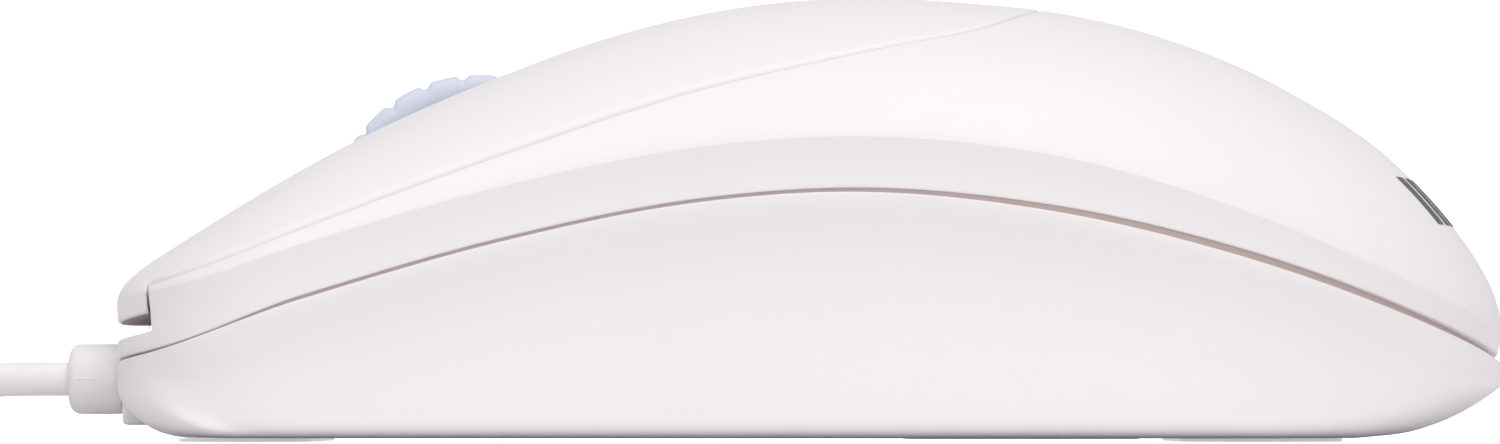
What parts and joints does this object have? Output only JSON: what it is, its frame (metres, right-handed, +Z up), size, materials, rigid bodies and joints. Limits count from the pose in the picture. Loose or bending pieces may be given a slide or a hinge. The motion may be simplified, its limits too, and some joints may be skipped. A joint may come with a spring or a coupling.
{
  "type": "computer mouse",
  "caption": "Low rounded corded optical mouse with a two-part key plate, a notched scroll wheel between the keys, a waisted base and a straight cable outlet at the front.",
  "frame": {"origin": "centre of the mouse body's footprint, on the table plane under its glide pads", "axes": "+X towards the palm end, -X towards the wheel and the cable, +Y towards the right key as the user sees it, +Z up"},
  "size_m": [0.2043, 0.0712, 0.0385],
  "materials": {
    "shell_plastic": "fine satin, off-white",
    "wheel_rubber": "matt pale blue",
    "inner_plastic": "plain moulded white",
    "cable_jacket": "soft satin, off-white",
    "glide_tape": "smooth slippery film",
    "label_film": "plain film with no print",
    "board": "lacquered laminate",
    "black_plastic": "moulded black",
    "amber_plastic": "moulded amber",
    "steel": "plated steel",
    "gold": "gold plating",
    "clear_lens": "clear moulded lens",
    "red_lens": "tinted clear red",
    "lead_red": "wire insulation",
    "lead_green": "wire insulation"
  },
  "bodies": {
    "root": {"base_shell": "shell_plastic", "upper_housing": "shell_plastic", "front_glide_pad": "glide_tape", "rear_glide_pad": "glide_tape", "type_label": "label_film", "housing_screw": "steel", "circuit_board": "board", "left_switch_case": "black_plastic", "right_switch_case": "black_plastic", "middle_switch_case": "black_plastic", "wheel_encoder": "black_plastic", "sensor_chip": "black_plastic", "controller_chip": "black_plastic", "crystal_can": "steel", "filter_capacitor": "black_plastic", "bypass_capacitor": "black_plastic", "sensor_led": "red_lens", "led_clip": "black_plastic", "sensor_lens": "clear_lens", "cable_header": "inner_plastic", "lead_plug": "inner_plastic", "inner_cable": "cable_jacket", "lead_red": "lead_red", "lead_white": "inner_plastic", "lead_green": "lead_green", "lead_black": "black_plastic", "cable_strain_relief": "cable_jacket", "cable_front": "cable_jacket", "cable_coil": "cable_jacket", "cable_tie": "black_plastic", "cable_tail": "cable_jacket", "usb_plug_grip": "cable_jacket", "usb_plug_shell": "steel", "usb_plug_tongue": "inner_plastic", "usb_contact_1": "gold", "usb_contact_2": "gold", "usb_contact_3": "gold", "usb_contact_4": "gold"},
    "left_key": {"left_button": "shell_plastic"},
    "right_key": {"right_button": "shell_plastic"},
    "left_plunger": {"left_switch_plunger": "amber_plastic"},
    "right_plunger": {"right_switch_plunger": "amber_plastic"},
    "middle_plunger": {"middle_switch_plunger": "amber_plastic"},
    "carrier": {"wheel_carrier": "inner_plastic"},
    "wheel": {"scroll_wheel_hub": "inner_plastic", "scroll_wheel_tyre": "wheel_rubber"}
  },
  "joints": [
    {"name": "left_key_press", "type": "hinge", "parent": "root", "child": "left_key", "pos_m": [0.016, -0.012, 0.032], "axis": [0, -1, 0], "range_deg": [0, 0.5], "stiffness_Nm_per_rad": 1.2, "springref_deg": -1.72},
    {"name": "right_key_press", "type": "hinge", "parent": "root", "child": "right_key", "pos_m": [0.016, 0.012, 0.032], "axis": [0, -1, 0], "range_deg": [0, 0.5], "stiffness_Nm_per_rad": 1.2, "springref_deg": -1.72},
    {"name": "left_switch_press", "type": "slide", "parent": "root", "child": "left_plunger", "axis": [0, 0, -1], "range_m": [0, 0.0006]},
    {"name": "right_switch_press", "type": "slide", "parent": "root", "child": "right_plunger", "axis": [0, 0, -1], "range_m": [0, 0.0006]},
    {"name": "wheel_press", "type": "hinge", "parent": "root", "child": "carrier", "pos_m": [-0.012, 0, 0.0124], "axis": [0, -1, 0], "range_deg": [0, 1], "stiffness_Nm_per_rad": 0.4, "springref_deg": -1.72},
    {"name": "middle_switch_press", "type": "slide", "parent": "root", "child": "middle_plunger", "axis": [0, 0, -1], "range_m": [0, 0.00065]},
    {"name": "wheel_spin", "type": "hinge", "parent": "carrier", "child": "wheel", "pos_m": [-0.0288, 0, 0.0188], "axis": [0, 1, 0], "continuous": true}
  ],
  "couplings": [
    {"joint": "left_switch_press", "follows": "left_key_press", "m_per_rad": 0.059},
    {"joint": "right_switch_press", "follows": "right_key_press", "m_per_rad": 0.059},
    {"joint": "middle_switch_press", "follows": "wheel_press", "m_per_rad": 0.0345}
  ]
}
